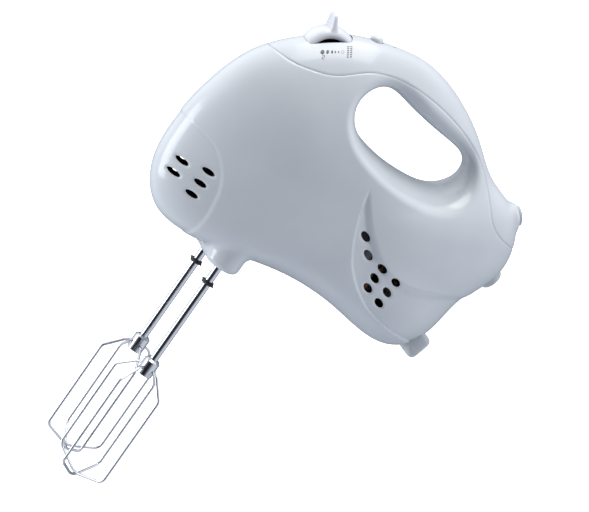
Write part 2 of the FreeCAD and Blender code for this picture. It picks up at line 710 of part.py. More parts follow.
def make_stator():
    front = number("stack_front")
    rear = front - number("stack_length")
    half = number("stack_half")
    yoke = rounded_block((rear, front), half, half, 6.0)
    window = rounded_block((rear - 1, front + 1), half - 5.0, half - 5.0, 3.0)
    poles = Part.makeBox(front - rear, 18.0, 2 * half - 4, Vector(rear, -9, -half + 2))
    shoes = Part.makeCylinder(17.5, front - rear, Vector(rear, 0, 0), Vector(1, 0, 0))
    keep = Part.makeBox(60, 24, 60, Vector(rear - 10, -12, -30))
    bore = Part.makeCylinder(number("armature_radius") + 0.6, 60, Vector(rear - 5, 0, 0), Vector(1, 0, 0))
    core = yoke.cut(window).fuse([poles, shoes.common(keep)]).cut(bore).removeSplitter()
    node("stator_core", put(solid(core), Vector(0, 0, SHAFT_Z)))
    coils = []
    for side in (-1, 1):
        low = 14.2 if side > 0 else -17.8
        ring = Part.makeBox(front - rear + 10, 31.0, 3.6, Vector(rear - 5, -15.5, low))
        inner = Part.makeBox(front - rear + 0.4, 18.4, 8, Vector(rear - 0.2, -9.2, low - 2))
        shoe_room = Part.makeCylinder(17.6, front - rear, Vector(rear, 0, 0), Vector(1, 0, 0))
        coils.append(ring.cut([inner, shoe_room.common(keep)]))
    node("field_coils", put(solid(Part.makeCompound([largest(coil) for coil in coils])),
                            Vector(0, 0, SHAFT_Z)))


def make_motor_mounts():
    gap = size("running_gap")
    rear = -116.0
    plate = box((rear, rear + 6), (-15, 15), (SHAFT_Z - 22, SHAFT_Z + 22))
    legs = [box((rear, -80), (-8, 8), (SHAFT_Z + low, SHAFT_Z + low + 3.5)) for low in (-22.0, 18.5)]
    seat = rod(6, 20, rear - 5, 0, SHAFT_Z, ALONG_X)
    node("motor_end_bracket", cut(fuse(plate, *legs), seat))
    rear_bush = turned(ring_profile(size("shaft_radius") + gap, 6, 6))
    node("rear_bearing", along_shaft(rear_bush, rear))
    front_bush = turned(ring_profile(size("worm_bore") + gap, 5, 5))
    node("front_bearing", along_shaft(front_bush, 17.5))
    holders, brushes, springs = [], [], []
    for side in (-1, 1):
        outer = box((-101.5, -94.5), (10.5, 27.5), (SHAFT_Z - 3.5, SHAFT_Z + 3.5))
        inner = box((-100.5, -95.5), (9.5, 26.3), (SHAFT_Z - 2.5, SHAFT_Z + 2.5))
        tube = cut(outer, inner)
        brush = box((-100.4, -95.6), (8.85, 17.5), (SHAFT_Z - 2.4, SHAFT_Z + 2.4))
        spring = Part.makeHelix(2.1, 8.2, 1.7)
        ring = Part.Wire(Part.Circle(Vector(1.7, 0, 0), Vector(0, 1, 0), 0.28).toShape())
        coil = solid(Part.Wire(spring).makePipeShell([ring], True, True))
        put(coil, Vector(-98, 17.8, SHAFT_Z), ALONG_Y)
        for item, group in ((tube, holders), (brush, brushes), (coil, springs)):
            if side < 0:
                turn = Placement(Vector(-196, 0, 0), Rotation(Vector(0, 0, 1), 180))
                item.Placement = turn.multiply(item.Placement)
            group.append(item)
    for label, group in (("brush_holders", holders), ("carbon_brushes", brushes),
                         ("brush_springs", springs)):
        node(label, together(group))


def together(items):
    """Separate identical solids kept as one group."""
    item = doc.addObject("Part::Compound", work_name("Group"))
    item.Links = items
    return item


# ---------------------------------------------------------------- gearbox and ejector


def make_gearbox():
    deck = box((-20, 22.5), (-25, 25), (31, 77.5))
    room = box((-16, 17.5), (-30, 30), (36, 72.5))
    trim = [box((14.5, 23), (low, low + 14), (30, 80)) for low in (-30, 16)]
    seats = [rod(7.5, 60, 0, side * HALF_GAP, 25) for word, side in SIDES]
    tunnel = rod(5, 60, -30, 0, SHAFT_Z, ALONG_X)
    rails = [box((-56, -19), (-8, 8), (SHAFT_Z + low, SHAFT_Z + low + 3.0)) for low in (-22.5, 19.5)]
    neck = box((-20, -19), (-8, 8), (SHAFT_Z + 14, SHAFT_Z + 22.5))
    frame = cut(fuse(deck, neck, *rails), room, tunnel, *(trim + seats))
    node("gearbox_frame", frame)
    inner = size("spindle_radius") + size("running_gap")
    for label, low in (("lower_spindle_bushes", 31.0), ("upper_spindle_bushes", 72.5)):
        group = [put(turned(ring_profile(inner, 7.5, 5)), Vector(0, side * HALF_GAP, low))
                 for word, side in SIDES]
        node(label, together(group))


def spring_coil(radius, wire, pitch, height):
    helix = Part.makeHelix(pitch, height, radius)
    ring = Part.Wire(Part.Circle(Vector(radius, 0, 0), Vector(0, 1, 0), wire).toShape())
    return solid(Part.Wire(helix).makePipeShell([ring], True, True))


def make_ejector():
    bar = box((-4, 4), (-21, 21), (86, 89.5))
    arm = box((-4, 4), (-3, 3), (88, 125))
    prongs = [rod(1.9, 87 - 50.2, 0, side * HALF_GAP, 50.2) for word, side in SIDES]
    node("ejector_plate", fuse(bar, arm, *prongs))
    spring = spring_coil(3.9, 0.5, 2.6, 7.2)
    node("ejector_spring", put(spring, Vector(0, 0, 78.1)))


# ---------------------------------------------------------------- controls


def make_controls():
    x, z = size("drum_x"), size("drum_z")
    drum = drum_shape(0.0)
    lower = Part.makeBox(60, 60, 40, Vector(-30, -30, -46))
    axle = Part.makeCylinder(4.5, 2 * number("drum_half"), Vector(0, -number("drum_half"), 0),
                             Vector(0, 1, 0))
    shell_room = drum_shape(-2.0).cut(axle)
    drum = drum.cut([lower, shell_room])
    lean = math.radians(number("fin_angle"))
    out = Vector(math.sin(lean), 0, math.cos(lean))
    root, tip = number("drum_radius") - 1.2, number("fin_tip")
    sections = []
    for reach, half_y, half_x in ((root, 6.6, 2.9), (tip - 2.0, 5.2, 1.9), (tip, 4.4, 1.2)):
        centre = out * reach
        along = Vector(out.z, 0, -out.x)
        side = Vector(0, 1, 0)
        corners = [centre + along * half_x + side * half_y, centre - along * half_x + side * half_y,
                   centre - along * half_x - side * half_y, centre + along * half_x - side * half_y]
        sections.append(Part.makePolygon(corners + corners[:1]))
    fin = Part.makeLoft(sections, True, True)
    hole = Part.makeCylinder(number("pin_radius") + number("running_gap"), 60, Vector(0, -30, 0),
                             Vector(0, 1, 0))
    axle_bar = axle.fuse(Part.makeBox(3, 6, 12, Vector(-1.5, -3, 3)))
    lever = largest(drum.fuse([fin, axle_bar]).cut(hole))
    node("speed_lever", put(solid(lever), DRUM_CENTRE))
    node("lever_pin", together([rod(size("pin_radius"), 21.6, x, -10.8, z, ALONG_Y)]))
    base = box((-2, 34), (-10.8, 10.8), (124, 126.6))
    cheeks = [box((x - 4, x + 4), (low, low + 2.0), (124, z + 0.4)) for low in (-10.8, 8.8)]
    pin_hole = rod(size("pin_radius"), 40, x, -20, z, ALONG_Y)
    slot = box((-5, 5.2), (-4, 4), (120, 130))
    node("lever_bracket", cut(fuse(base, *cheeks), pin_hole, slot))
    node("speed_switch", fuse(box((13, 33), (-8, 8), (109, 124)), box((16, 19), (-1, 1), (103, 110)),
                              box((26, 29), (-1, 1), (103, 110))))
    make_turbo()


def make_turbo():
    reach = number("turbo_radius")
    dome = Part.makeCylinder(reach, 4.5, Vector(0, 0, -2.5)).fuse(
        Part.makeSphere(reach, Vector(0, 0, 2.0)).cut(Part.makeBox(20, 20, 20, Vector(-10, -10, -18))))
    collar = Part.makeCylinder(reach + 1.2, 1.2, Vector(0, 0, -4.6))
    neck = Part.makeCylinder(reach - 0.2, 3.0, Vector(0, 0, -4.6))
    stem = Part.makeCylinder(1.4, 10.0, Vector(0, 0, -13.4))
    button = dome.fuse([collar, neck, stem]).removeSplitter()
    tilt = Rotation(Vector(0, 1, 0), number("turbo_lean"))
    seat = TURBO - TURBO_OUT * 1.2
    node("turbo_button", put(solid(button), seat, tilt))
    spring = spring_coil(2.3, 0.3, 1.9, 5.4)
    node("turbo_spring", put(spring, seat - TURBO_OUT * 10.6, tilt))
    block = Part.makeBox(7, 12, 3.6, Vector(-2.5, -6, -20.0))
    ledge = Part.makeBox(7, 12, 1.6, Vector(-2.5, -6, -12.6)).cut(
        Part.makeCylinder(1.8, 10, Vector(0, 0, -18)))
    posts = [Part.makeBox(7, 1.6, 9, Vector(-2.5, low, -20.0)) for low in (-6.0, 4.4)]
    switch = block.fuse([ledge] + posts).removeSplitter()
    node("turbo_switch", put(solid(switch), seat, tilt))


def make_small_parts():
    screws = []
    for x, z in SCREWS:
        head = rod(3.1, 2.2, x, -18.2, z, ALONG_Y)
        shank = rod(1.45, 30.0, x, -16.2, z, ALONG_Y)
        screws.append(fuse(head, shank))
    node("housing_screws", together(screws))
    can = rod(6.0, 20.0, -126.0, -10.0, 70.0, ALONG_Y)
    leads = [rod(0.5, 6.0, -126.0, side * 10.0 - (6.0 if side < 0 else 0.0), 70.0, ALONG_Y)
             for side in (-1, 1)]
    node("noise_capacitor", fuse(can, *leads))
    clamp = box((-125.5, -114.5), (-9, 9), (107.5, 111.5))
    saddle = rod(3.6, 30, -130, 0, 113.5, ALONG_X)
    node("cord_clamp", cut(clamp, saddle))


def stand_on_heel():
    """Turn every piece from the position of use to standing on the heel, centred over its box."""
    stand = Placement(Vector(0, 0, -HEEL_LEVEL), stand_turn())
    whole = FreeCAD.BoundBox()
    for item in nodes:
        item.Placement = stand.multiply(item.Placement)
    doc.recompute()
    for item in nodes:
        whole.add(item.Shape.optimalBoundingBox(False, False))
    shift = Placement(Vector(-whole.Center.x, -whole.Center.y, 0), Rotation())
    for item in nodes:
        item.Placement = shift.multiply(item.Placement)
    doc.recompute()
    return whole


def check_and_write():
    faults = [item.Name for item in doc.Objects if "Invalid" in item.State or "Error" in item.State]
    for item in nodes:
        if item.Shape.isNull() or not item.Shape.isValid() or not item.Shape.Solids:
            faults.append(item.Label)
    if faults:
        raise RuntimeError("these pieces failed: " + ", ".join(faults))
    os.makedirs("parts", exist_ok=True)
    for item in nodes:
        item.Shape.exportStep("parts/%s.step" % item.Label)


make_casing()
make_spindles()
make_gears()
make_beaters()
make_rotor()
make_stator()
make_motor_mounts()
make_gearbox()
make_ejector()
make_controls()
make_small_parts()
doc.recompute()
extent = stand_on_heel()
check_and_write()
print("pieces:", len(nodes), "box:", extent)
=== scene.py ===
import json
import math

import bmesh
import bpy
import numpy as np
from mathutils import Matrix, Vector


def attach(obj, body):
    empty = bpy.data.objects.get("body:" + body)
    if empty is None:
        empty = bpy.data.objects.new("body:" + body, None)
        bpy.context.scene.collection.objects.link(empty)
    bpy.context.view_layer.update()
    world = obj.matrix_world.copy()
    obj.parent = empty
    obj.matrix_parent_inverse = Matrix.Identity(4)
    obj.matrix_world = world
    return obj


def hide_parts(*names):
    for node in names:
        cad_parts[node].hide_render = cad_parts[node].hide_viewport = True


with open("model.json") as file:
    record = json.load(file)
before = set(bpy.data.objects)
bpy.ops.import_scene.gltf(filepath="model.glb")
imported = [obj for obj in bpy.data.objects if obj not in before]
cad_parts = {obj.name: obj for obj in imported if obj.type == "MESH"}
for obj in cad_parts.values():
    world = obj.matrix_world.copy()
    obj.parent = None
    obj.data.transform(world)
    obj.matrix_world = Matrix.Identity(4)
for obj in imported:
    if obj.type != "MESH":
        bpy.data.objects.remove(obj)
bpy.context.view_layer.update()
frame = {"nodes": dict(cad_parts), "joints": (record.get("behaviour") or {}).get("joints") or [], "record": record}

# Lengths below are millimetres in the position of use: x runs from tail to nose, y to the near side
# and z up, with the beater stems at x = 0. to_row() turns them into the frame's metres, with the
# mixer standing on its heel.
HEEL_TILT = math.radians(16.1)
HEEL_LEVEL = 127.2
SHAFT_HEIGHT = 62.0
STEM_SIDE = 17.6
HALF_WIDTH = 39.0
POLE = np.array([-45.0, 80.0])

joints = {joint["name"]: joint for joint in frame["joints"]}
motor_at = joints["motor_spin"]["pos_m"]
ROW_SHIFT = -math.cos(HEEL_TILT) * SHAFT_HEIGHT - motor_at[0] * 1000.0
TO_ROW = np.array([[math.sin(HEEL_TILT), 0.0, -math.cos(HEEL_TILT)],
                   [0.0, 1.0, 0.0],
                   [math.cos(HEEL_TILT), 0.0, math.sin(HEEL_TILT)]])


def to_row(points):
    """Millimetres in the position of use to metres in the frame."""
    moved = np.asarray(points, float) @ TO_ROW.T + np.array([-ROW_SHIFT, 0.0, HEEL_LEVEL])
    return moved / 1000.0


# ------------------------------------------------------------------ camera, light and floor


def look_from(side_angle, height_angle, roll, distance, target, lens):
    """The camera, from angles measured in the position of use."""
    towards = np.array([math.sin(side_angle) * math.cos(height_angle),
                        math.cos(side_angle) * math.cos(height_angle), math.sin(height_angle)])
    right = np.cross(-towards, [0.0, 0.0, 1.0])
    right /= np.linalg.norm(right)
    up = np.cross(right, -towards)
    rolled_right = math.cos(roll) * right + math.sin(roll) * up
    rolled_up = -math.sin(roll) * right + math.cos(roll) * up
    axes = [TO_ROW @ axis for axis in (rolled_right, rolled_up, towards)]
    spot = to_row(np.asarray(target, float) + towards * distance)
    matrix = Matrix.Identity(4)
    for column, axis in enumerate(axes):
        for line in range(3):
            matrix[line][column] = axis[line]
    for line in range(3):
        matrix[line][3] = spot[line]
    data = bpy.data.cameras.new("camera")
    data.lens = lens
    data.sensor_width = 36.0
    data.clip_end = 20.0
    camera = bpy.data.objects.new("camera", data)
    bpy.context.scene.collection.objects.link(camera)
    camera.matrix_world = matrix
    bpy.context.scene.camera = camera
    return axes


SCALE = 1.5 / 1.7
CAMERA_AXES = look_from(math.radians(23.5), math.radians(9.5), math.radians(35.4), 1200.0 * SCALE,
                        (-48.0 * SCALE, 0.0, 41.5 * SCALE), 110.0)


def add_area_light(name, towards, distance, size_m, power, colour):
    """A soft box in a direction given along the camera's right, up and back axes."""
    middle = to_row([-45.0, 0.0, 80.0])
    direction = sum(part * axis for part, axis in zip(towards, CAMERA_AXES))
    direction = direction / np.linalg.norm(direction)
    data = bpy.data.lights.new(name, "AREA")
    data.shape = "RECTANGLE"
    data.size, data.size_y = size_m
    data.energy = power
    data.color = colour
    lamp = bpy.data.objects.new(name, data)
    bpy.context.scene.collection.objects.link(lamp)
    lamp.location = Vector(middle + direction * distance)
    lamp.rotation_euler = Vector(direction).to_track_quat("Z", "Y").to_euler()


def add_link(tree, source, target):
    """Join two sockets of a node tree."""
    tree.links.new(source, target)


def add_ramp(tree, source, stops):
    """A colour ramp: stops are (place, colour) pairs."""
    ramp = tree.nodes.new("ShaderNodeValToRGB")
    elements = ramp.color_ramp.elements
    while len(elements) < len(stops):
        elements.new(0.5)
    for element, (place, colour) in zip(elements, stops):
        element.position = place
        element.color = (*colour, 1.0)
    add_link(tree, source, ramp.inputs["Fac"])
    return ramp.outputs["Color"]


def facing(tree, direction, axis):
    """How far a direction of the sky lies along an axis, from 0 to 1."""
    dot = tree.nodes.new("ShaderNodeVectorMath")
    dot.operation = "DOT_PRODUCT"
    add_link(tree, direction, dot.inputs[0])
    dot.inputs[1].default_value = tuple(axis)
    half = tree.nodes.new("ShaderNodeMath")
    half.operation = "MULTIPLY_ADD"
    add_link(tree, dot.outputs["Value"], half.inputs[0])
    half.inputs[1].default_value = 0.5
    half.inputs[2].default_value = 0.5
    return half.outputs["Value"]


SKY_STRENGTH = 1.90


def make_sky():
    """A studio around the object: bright walls and ceiling, and a dark side where the camera stood."""
    right, up, back = CAMERA_AXES
    world = bpy.data.worlds.new("studio")
    bpy.context.scene.world = world
    world.use_nodes = True
    tree = world.node_tree
    direction = tree.nodes.new("ShaderNodeTexCoord").outputs["Generated"]
    walls = add_ramp(tree, facing(tree, direction, right),
                     [(0.0, (0.80, 0.82, 0.85)), (0.5, (0.72, 0.74, 0.77)), (1.0, (0.95, 0.96, 0.98))])
    front = add_ramp(tree, facing(tree, direction, back - 0.15 * right),
                     [(0.0, (0.20, 0.21, 0.22)), (0.20, (0.42, 0.43, 0.45)), (0.36, (1.0, 1.0, 1.0)),
                      (0.76, (0.92, 0.92, 0.92)), (0.95, (0.03, 0.03, 0.03))])
    ceiling = add_ramp(tree, facing(tree, direction, up),
                       [(0.0, (0.56, 0.59, 0.64)), (0.45, (0.72, 0.74, 0.78)), (1.0, (1.0, 1.0, 1.0))])
    colour = walls
    for part in (front, ceiling):
        mix = tree.nodes.new("ShaderNodeMix")
        mix.data_type = "RGBA"
        mix.blend_type = "MULTIPLY"
        mix.inputs["Factor"].default_value = 1.0
        add_link(tree, colour, mix.inputs[6])
        add_link(tree, part, mix.inputs[7])
        colour = mix.outputs[2]
    background = tree.nodes["Background"]
    background.inputs["Strength"].default_value = SKY_STRENGTH
    add_link(tree, colour, background.inputs["Color"])


def make_surroundings():
    """A white floor, the studio sky and large soft boxes."""
    make_sky()
    add_area_light("key", (0.40, 1.0, 0.36), 0.95, (0.8, 0.6), 4.6, (1.0, 0.99, 0.97))
    add_area_light("side", (-1.0, 0.25, 0.30), 1.0, (0.4, 0.8), 4.6, (0.96, 0.98, 1.0))
    mesh = bpy.data.meshes.new("floor")
    reach = 6.0
    mesh.from_pydata([(-reach, -reach, 0), (reach, -reach, 0), (reach, reach, 0),
                      (-reach, reach, 0)], [], [(0, 1, 2, 3)])
    floor = bpy.data.objects.new("floor", mesh)
    bpy.context.scene.collection.objects.link(floor)
    floor.visible_diffuse = False
    floor.visible_glossy = False
    material = bpy.data.materials.new("pale_floor")
    material.use_nodes = True
    shader = material.node_tree.nodes["Principled BSDF"]
    shader.inputs["Base Color"].default_value = (0.9, 0.9, 0.9, 1.0)
    shader.inputs["Roughness"].default_value = 0.9
    shader.inputs["Specular IOR Level"].default_value = 0.0
    shader.inputs["Emission Color"].default_value = (1.0, 1.0, 1.0, 1.0)
    shader.inputs["Emission Strength"].default_value = 0.80
    mesh.materials.append(material)


# ------------------------------------------------------------------ finishes

# Each finish: two colours that drift into each other, the size of the drift and of the fine relief in
# millimetres, the relief's height in micrometres, the roughness range, and how gloss and metal behave.
FINISHES = {
    # Painted shade: near black for the inside of the casing's white shell, its gap walls and vent walls, which lie
    # in shade.
    "casing_painted_shade": dict(colours=((0.010, 0.010, 0.011), (0.020, 0.020, 0.022)), drift=12.0,
                          grain=0.8, height=15.0, rough=(0.7, 0.9)),
    "casing_white": dict(colours=((0.582, 0.613, 0.648), (0.622, 0.651, 0.686)), drift=38.0, grain=2.6,
                         height=2.0, rough=(0.17, 0.25), coat=0.35),
    "control_white": dict(colours=((0.66, 0.68, 0.72), (0.70, 0.72, 0.76)), drift=9.0, grain=1.2,
                          height=2.0, rough=(0.20, 0.30), coat=0.25),
    "rubber_grey": dict(colours=((0.50, 0.53, 0.56), (0.56, 0.59, 0.62)), drift=3.0, grain=0.35,
                        height=25.0, rough=(0.62, 0.80)),
    "black_plastic": dict(colours=((0.020, 0.020, 0.024), (0.040, 0.040, 0.046)), drift=6.0,
                          grain=0.30, height=12.0, rough=(0.35, 0.55)),
    "beater_chrome": dict(colours=((0.50, 0.51, 0.54), (0.60, 0.61, 0.64)), drift=14.0, grain=0.5,
                          height=0.8, rough=(0.07, 0.17), metal=1.0),
    "printed_ink": dict(colours=((0.13, 0.14, 0.16), (0.19, 0.20, 0.22)), drift=1.5, grain=0.2,
                        height=1.0, rough=(0.35, 0.5)),
    "disc_dark": dict(colours=((0.010, 0.010, 0.012), (0.024, 0.024, 0.028)), drift=3.0, grain=0.4,
                      height=5.0, rough=(0.55, 0.75)),
    "bearing_bronze": dict(colours=((0.42, 0.27, 0.12), (0.58, 0.38, 0.19)), drift=1.2, grain=0.25,
                           height=14.0, rough=(0.38, 0.55), metal=1.0),
    "frame_nylon": dict(colours=((0.62, 0.61, 0.55), (0.70, 0.69, 0.62)), drift=12.0, grain=0.6,
                        height=14.0, rough=(0.42, 0.58)),
    "gear_nylon": dict(colours=((0.74, 0.71, 0.60), (0.80, 0.77, 0.66)), drift=5.0, grain=0.5,
                       height=6.0, rough=(0.32, 0.46)),
    "steel": dict(colours=((0.46, 0.47, 0.49), (0.60, 0.61, 0.63)), drift=6.0, grain=0.3, height=3.0,
                  rough=(0.22, 0.38), metal=1.0, streak=12.0),
    "lamination_steel": dict(colours=((0.16, 0.16, 0.17), (0.34, 0.35, 0.36)), drift=4.0, grain=0.5,
                             height=60.0, rough=(0.35, 0.55), metal=1.0, bands=1.0),
    "copper_wire": dict(colours=((0.22, 0.07, 0.03), (0.42, 0.15, 0.06)), drift=2.0, grain=0.4,
                        height=120.0, rough=(0.25, 0.40), metal=1.0, bands=0.5),
    "copper_bars": dict(colours=((0.55, 0.26, 0.13), (0.72, 0.40, 0.22)), drift=2.0, grain=0.25,
                        height=4.0, rough=(0.22, 0.36), metal=1.0, streak=8.0),
    "carbon": dict(colours=((0.018, 0.018, 0.018), (0.055, 0.053, 0.050)), drift=0.5, grain=0.2,
                   height=10.0, rough=(0.45, 0.70)),
    "brass_sheet": dict(colours=((0.60, 0.44, 0.16), (0.74, 0.56, 0.24)), drift=4.0, grain=0.3,
                        height=3.0, rough=(0.25, 0.40), metal=1.0, streak=6.0),
    "capacitor_yellow": dict(colours=((0.62, 0.42, 0.06), (0.72, 0.52, 0.10)), drift=4.0, grain=0.5,
                             height=8.0, rough=(0.35, 0.50)),
}


def add_noise(tree, place, size_mm, detail):
    """A noise whose grains are about size_mm across."""
    noise = tree.nodes.new("ShaderNodeTexNoise")
    noise.inputs["Scale"].default_value = 1000.0 / size_mm
    noise.inputs["Detail"].default_value = detail
    add_link(tree, place, noise.inputs["Vector"])
    return noise.outputs["Fac"]


def make_finish(name, colours, drift, grain, height, rough, metal=0.0, coat=0.0, streak=1.0,
                bands=0.0):
    """A procedural material: slow colour drift, uneven gloss and a fine relief of the right size."""
    material = bpy.data.materials.new(name)
    material.use_nodes = True
    tree = material.node_tree
    shader = tree.nodes["Principled BSDF"]
    place = tree.nodes.new("ShaderNodeTexCoord").outputs["Object"]
    add_link(tree, add_ramp(tree, add_noise(tree, place, drift, 3.0),
                            [(0.30, colours[0]), (0.70, colours[1])]), shader.inputs["Base Color"])
    gloss = tree.nodes.new("ShaderNodeMapRange")
    gloss.inputs["To Min"].default_value, gloss.inputs["To Max"].default_value = rough
    gloss.inputs["From Min"].default_value, gloss.inputs["From Max"].default_value = 0.3, 0.7
    add_link(tree, add_noise(tree, place, drift * 0.3, 4.0), gloss.inputs["Value"])
    add_link(tree, gloss.outputs["Result"], shader.inputs["Roughness"])
    drawn = tree.nodes.new("ShaderNodeMapping")
    drawn.inputs["Scale"].default_value = (1.0, 1.0, 1.0 / streak)
    add_link(tree, place, drawn.inputs["Vector"])
    relief = add_noise(tree, drawn.outputs["Vector"], grain, 2.0)
    if bands:
        wave = tree.nodes.new("ShaderNodeTexWave")
        wave.wave_type = "BANDS"
        wave.bands_direction = "Z"
        wave.inputs["Scale"].default_value = 1000.0 / (bands * 20.0)
        wave.inputs["Distortion"].default_value = 0.15
        add_link(tree, place, wave.inputs["Vector"])
        relief = wave.outputs["Fac"]
    bump = tree.nodes.new("ShaderNodeBump")
    bump.inputs["Distance"].default_value = height * 1e-6
    add_link(tree, relief, bump.inputs["Height"])
    add_link(tree, bump.outputs["Normal"], shader.inputs["Normal"])
    shader.inputs["Metallic"].default_value = metal
    if coat:
        shader.inputs["Coat Weight"].default_value = coat
        shader.inputs["Coat Roughness"].default_value = 0.06
    return material


materials = {name: make_finish(name, **finish) for name, finish in FINISHES.items()}


def finish_cad_parts():
    """Give every carried-over CAD part its procedural material."""
    for part in frame["record"]["subparts"]:
        mesh = frame["nodes"][part["node"]].data
        for index in range(len(mesh.materials)):
            mesh.materials[index] = materials[part["material_slot"]]


# ------------------------------------------------------------------ the sculpted casing

OUTLINE = [
    (66.5, 58), (65.5, 79), (60.5, 103), (52, 123.5), (29.5, 148), (9, 161.8), (-16, 170.3),
    (-37, 173.7), (-71.5, 166.3), (-96, 153.2), (-119, 138.3), (-142, 129.5), (-156.5, 109),
    (-158, 95), (-147.5, 67), (-140.5, 36), (-129, 23.2), (-80, 23.5), (-25, 24), (20, 16.2),
    (46, 19), (62, 37),
]
GRIP_HOLE = [
    (-14.5, 133), (-19, 124), (-38, 115.2), (-72, 112.5), (-95, 120.5), (-98.5, 128.5),
    (-96.5, 137), (-77, 143.7), (-45, 148), (-22, 147.5),
]
SEAM = [
    (70, 133.5), (45.5, 132.3), (32, 132.8), (22.8, 135), (13, 138.4), (5, 143.2), (-5.4, 151),
    (-15, 155.3), (-37.6, 158.6), (-65, 156), (-95, 146.6), (-107, 139.5), (-119, 126.3),
    (-127, 117.6), (-140, 112.7), (-175, 111),
]
NOSE_PANEL = [(75, 74), (55, 73.6), (48, 72), (41, 68), (35, 61.5), (31, 54), (28.5, 45), (27, 36),
              (26.5, 27), (26, 5)]
SCOOP_LIP = [(-38.5, 101), (-42.7, 85.6), (-48.9, 70.4), (-58.4, 56), (-71.4, 45), (-88.2, 36.5),
             (-102.3, 33), (-118, 31), (-165, 30)]
SCOOP_BACK = [(-38.5, 101), (-46, 92), (-55.3, 82), (-68.5, 71.2), (-83.2, 64), (-96.7, 62.5),
              (-110, 64), (-126, 69), (-165, 78)]
SIDE_WIDTH = [(-150, 36), (-110, 39), (-20, 38.5), (20, 38), (60, 36), (90, 31), (110, 28.5),
              (140, 28), (165, 31), (185, 34)]
SIDE_POWER = [(-170, 2.8), (-140, 3.2), (-110, 5.0), (-60, 5.0), (-25, 2.6), (0, 2.2), (60, 2.1),
              (110, 2.1), (150, 2.3), (170, 2.5)]
NOSE_VENTS = [(54.3, 52.8), (54.3, 44.7), (40.6, 56.6), (40.6, 48.6), (40.6, 40.6)]
REAR_VENTS = [(-55.5, 74.2), (-63.9, 65.9), (-76.5, 63.3), (-76.5, 56.2), (-77, 49.1),
              (-89.5, 60.4), (-89.2, 52.6), (-89.5, 44.6)]
VENTS = [(centre, 3.7, 1.6, 0.0) for centre in NOSE_VENTS]
VENTS += [(centre, 3.9, 2.1, math.radians(22.0)) for centre in REAR_VENTS]
SCREWS = [(50.0, 62.0), (30.0, 96.0), (-40.0, 31.5), (-128.0, 50.0), (-131.0, 106.0)]
HOLE_ROUNDING = 11.0
HOLE_POWER = 2.3
WALL = 2.2
FIELD_STEP = 0.3
FIELD_LOW = np.array([-168.0, 2.0])
FIELD_HIGH = np.array([76.0, 182.0])


def smooth_step(low, high, value):
    """A soft rise from 0 at low to 1 at high."""
    part = np.clip((value - low) / (high - low), 0.0, 1.0)
    return part * part * (3.0 - 2.0 * part)


def smooth_line(points, closed, steps=10):
    """A smooth line through given points, as many short straight runs (cubic, chord spaced)."""
    points = np.asarray(points, float)
    count = len(points)
    following = np.roll(points, -1, 0) if closed else points[1:]
    gaps = np.linalg.norm(following - points[:len(following)], axis=1)
    matrix = np.zeros((count, count))
    right = np.zeros((count, 2))
    for index in range(count):
        if not closed and index in (0, count - 1):
            matrix[index, index] = 1.0
            continue
        before, after = gaps[index - 1], gaps[index]
        ahead = (index + 1) % count
        matrix[index, index - 1] += before
        matrix[index, index] += 2.0 * (before + after)
        matrix[index, ahead] += after
        right[index] = 6.0 * ((points[ahead] - points[index]) / after
                              - (points[index] - points[index - 1]) / before)
    bend = np.linalg.solve(matrix, right)
    share = np.linspace(0.0, 1.0, steps, endpoint=False)[:, None]
    runs = []
    for index, gap in enumerate(gaps):
        ahead = (index + 1) % count
        rest = 1.0 - share
        runs.append(rest * points[index] + share * points[ahead]
                    + gap * gap / 6.0 * ((rest ** 3 - rest) * bend[index]
                                         + (share ** 3 - share) * bend[ahead]))
    if not closed:
        runs.append(points[-1:])
    return np.concatenate(runs)


def distance_to_line(line, x, z, closed):
    """Distance to a line of runs, and whether each point lies inside it when it is closed."""
    nearest = np.full(x.shape, 1e9)
    inside = np.zeros(x.shape, bool)
    ends = np.roll(line, -1, 0) if closed else line[1:]
    for start, end in zip(line, ends):
        run = end - start
        share = np.clip(((x - start[0]) * run[0] + (z - start[1]) * run[1]) / (run @ run), 0.0, 1.0)
        away = (x - start[0] - share * run[0]) ** 2 + (z - start[1] - share * run[1]) ** 2
        nearest = np.minimum(nearest, away)
        if closed and start[1] != end[1]:
            crosses = (start[1] > z) != (end[1] > z)
            inside ^= crosses & (x < start[0] + (z - start[1]) * run[0] / run[1])
    return np.sqrt(nearest), inside


def by_direction(table, angles):
    """Blend a (direction in degrees, value) table smoothly around the full circle."""
    starts = np.radians([row[0] for row in table])
    values = np.array([row[1] for row in table], float)
    starts = np.concatenate([starts - 2 * np.pi, starts, starts + 2 * np.pi])
    values = np.tile(values, 3)
    index = np.clip(np.searchsorted(starts, angles) - 1, 0, len(starts) - 2)
    share = smooth_step(starts[index], starts[index + 1], angles)
    return values[index] * (1.0 - share) + values[index + 1] * share


def field_grid():
    """The x and z of every cell of the side-view maps."""
    return np.meshgrid(np.arange(FIELD_LOW[0], FIELD_HIGH[0], FIELD_STEP),
                       np.arange(FIELD_LOW[1], FIELD_HIGH[1], FIELD_STEP), indexing="ij")


